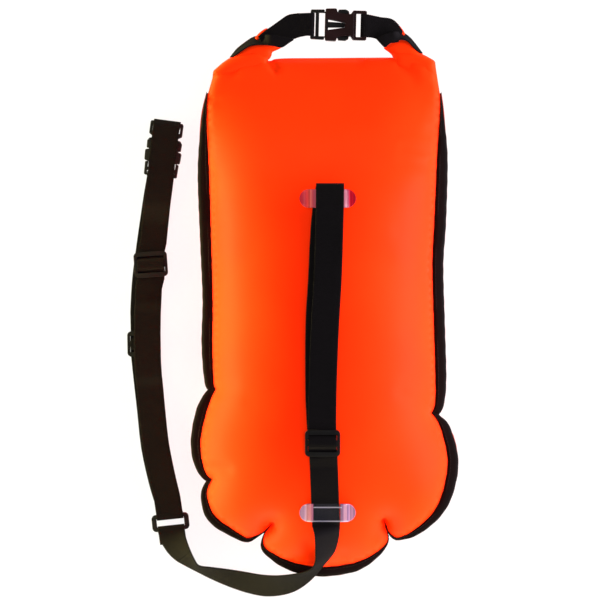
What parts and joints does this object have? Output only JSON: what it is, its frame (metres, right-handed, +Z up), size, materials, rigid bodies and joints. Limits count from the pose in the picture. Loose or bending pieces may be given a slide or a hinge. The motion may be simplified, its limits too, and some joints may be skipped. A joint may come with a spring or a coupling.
{
  "type": "open water swim buoy",
  "caption": "Inflatable roll-top dry bag buoy with a bound seam, buckled carry handle, webbing leash through clear loops, adjusters and a buckled waist belt.",
  "frame": {"origin": "on the ground, under the middle of the bag lying on its back", "axes": "+Y along the bag to its rolled mouth and handle, +Z up out of its front face, +X to its right"},
  "size_m": [0.3086, 0.5475, 0.1535],
  "materials": {
    "orange_fabric": "semi-gloss coated fabric",
    "liner_fabric": "matte coated fabric",
    "black_band": "woven tape",
    "black_webbing": "ribbed woven webbing",
    "black_plastic": "moulded",
    "clear_plastic": "clear flexible film",
    "grey_rubber": "matte"
  },
  "bodies": {
    "bag": {"front_panel": "orange_fabric", "back_panel": "orange_fabric", "closure_roll": "orange_fabric", "front_liner": "liner_fabric", "back_liner": "liner_fabric", "edge_binding": "black_band", "upper_clear_loop": "clear_plastic", "lower_clear_loop": "clear_plastic", "leash_strap": "black_webbing", "belt_strap": "black_webbing", "handle_strap_left": "black_webbing", "handle_strap_right": "black_webbing", "handle_buckle_socket": "black_plastic", "belt_buckle_socket": "black_plastic", "valve_body": "black_plastic"},
    "leash_adjuster": {"leash_slide": "black_plastic"},
    "belt_adjuster_front": {"belt_slide_front": "black_plastic"},
    "belt_adjuster_rear": {"belt_slide_rear": "black_plastic"},
    "ring": {"belt_ring": "black_plastic"},
    "handle_plug": {"handle_buckle_plug": "black_plastic"},
    "handle_arm_first": {"handle_buckle_release_arm_first": "black_plastic"},
    "handle_arm_second": {"handle_buckle_release_arm_second": "black_plastic"},
    "belt_plug": {"belt_buckle_plug": "black_plastic"},
    "belt_arm_first": {"belt_buckle_release_arm_first": "black_plastic"},
    "belt_arm_second": {"belt_buckle_release_arm_second": "black_plastic"},
    "mouthpiece": {"valve_mouthpiece": "black_plastic"},
    "flap": {"valve_flap": "grey_rubber"}
  },
  "joints": [
    {"name": "leash_slide_travel", "type": "hinge", "parent": "bag", "child": "leash_adjuster", "pos_m": [-0.0022, -0.06511, -0.31168], "axis": [1, 0, 0], "range_deg": [-6, 2], "deforming": ["leash_strap"]},
    {"name": "belt_slide_front_travel", "type": "slide", "parent": "bag", "child": "belt_adjuster_front", "axis": [-0.0698, 0.9976, 0], "range_m": [-0.02, 0.02], "deforming": ["belt_strap"]},
    {"name": "belt_slide_rear_travel", "type": "slide", "parent": "bag", "child": "belt_adjuster_rear", "axis": [-0.0175, 0.9998, 0], "range_m": [-0.02, 0.02], "deforming": ["belt_strap"]},
    {"name": "belt_ring_lift", "type": "hinge", "parent": "bag", "child": "ring", "pos_m": [-0.14496, -0.21024, 0.0035], "axis": [0.9945, 0.1045, 0], "range_deg": [-50, 0], "deforming": ["leash_strap", "belt_strap"]},
    {"name": "handle_buckle_pull", "type": "slide", "parent": "bag", "child": "handle_plug", "axis": [-0.9997, 0.0262, 0], "range_m": [0, 0.025], "deforming": ["handle_buckle_release_arm_first", "handle_buckle_release_arm_second", "handle_strap_left"]},
    {"name": "handle_arm_first_squeeze", "type": "hinge", "parent": "handle_plug", "child": "handle_arm_first", "pos_m": [0.00526, 0.2549, 0.079], "axis": [0, 0, 1], "range_deg": [-8, 0], "stiffness_Nm_per_rad": 0.3},
    {"name": "handle_arm_second_squeeze", "type": "hinge", "parent": "handle_plug", "child": "handle_arm_second", "pos_m": [0.00474, 0.23486, 0.079], "axis": [0, 0, 1], "range_deg": [0, 8], "stiffness_Nm_per_rad": 0.3},
    {"name": "belt_buckle_pull", "type": "slide", "parent": "bag", "child": "belt_plug", "axis": [-0.1305, -0.9914, 0], "range_m": [0, 0.025], "deforming": ["belt_buckle_release_arm_first", "belt_buckle_release_arm_second", "belt_strap"]},
    {"name": "belt_arm_first_squeeze", "type": "hinge", "parent": "belt_plug", "child": "belt_arm_first", "pos_m": [-0.16304, 0.12807, 0.0054], "axis": [0, 0, 1], "range_deg": [-8, 0], "stiffness_Nm_per_rad": 0.3},
    {"name": "belt_arm_second_squeeze", "type": "hinge", "parent": "belt_plug", "child": "belt_arm_second", "pos_m": [-0.14016, 0.12505, 0.0054], "axis": [0, 0, 1], "range_deg": [0, 8], "stiffness_Nm_per_rad": 0.3},
    {"name": "valve_twist", "type": "hinge", "parent": "bag", "child": "mouthpiece", "pos_m": [0.04504, 0.13518, 0.03899], "axis": [0.1284, 0.6065, -0.7846], "range_deg": [0, 90]},
    {"name": "valve_flap_lift", "type": "hinge", "parent": "bag", "child": "flap", "pos_m": [0.0455, 0.13737, 0.04471], "axis": [-0.9783, 0.2071, 0], "range_deg": [0, 25], "stiffness_Nm_per_rad": 0.0005}
  ],
  "couplings": [
    {"joint": "handle_arm_second_squeeze", "follows": "handle_arm_first_squeeze", "ratio": -1},
    {"joint": "belt_arm_second_squeeze", "follows": "belt_arm_first_squeeze", "ratio": -1}
  ]
}
